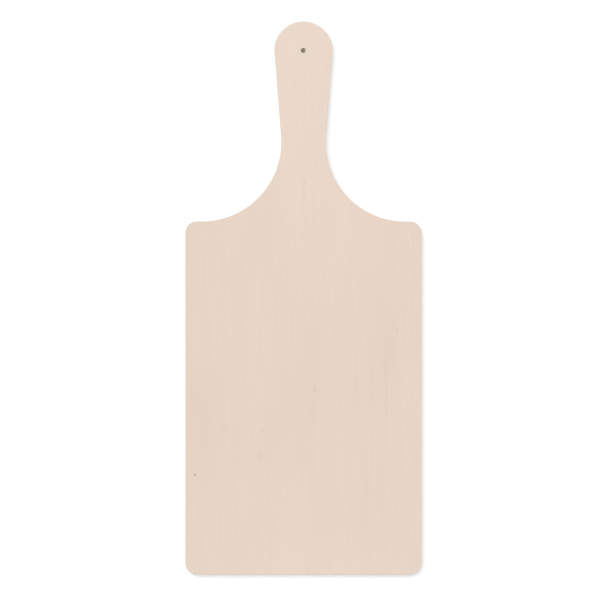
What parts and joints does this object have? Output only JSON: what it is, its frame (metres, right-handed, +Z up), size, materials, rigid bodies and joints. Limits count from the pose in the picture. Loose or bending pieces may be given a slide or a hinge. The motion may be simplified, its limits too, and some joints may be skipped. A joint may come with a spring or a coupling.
{
  "type": "paddle serving board",
  "caption": "Thin plywood serving board with a rounded rectangular blade, hollow shoulders and a slim round-ended handle with a hanging hole.",
  "frame": {"origin": "middle of the underside, halfway along the whole length", "axes": "+Z up out of the serving face, +Y along the board towards the tip of the handle, +X to the right"},
  "size_m": [0.15, 0.3515, 0.005],
  "materials": {
    "basswood_veneer": "peeled veneer with the grain along the board, sanded fine and left unoiled",
    "basswood_crossband": "peeled veneer with the grain across the board, seen only at the routed and sanded edge",
    "plywood_glue": "cured resin film, seen only as a thin line at the edge"
  },
  "bodies": {
    "root": {"top_face_veneer": "basswood_veneer", "top_crossband": "basswood_crossband", "core_veneer": "basswood_veneer", "bottom_crossband": "basswood_crossband", "bottom_face_veneer": "basswood_veneer", "glue_lines": "plywood_glue"}
  },
  "joints": []
}
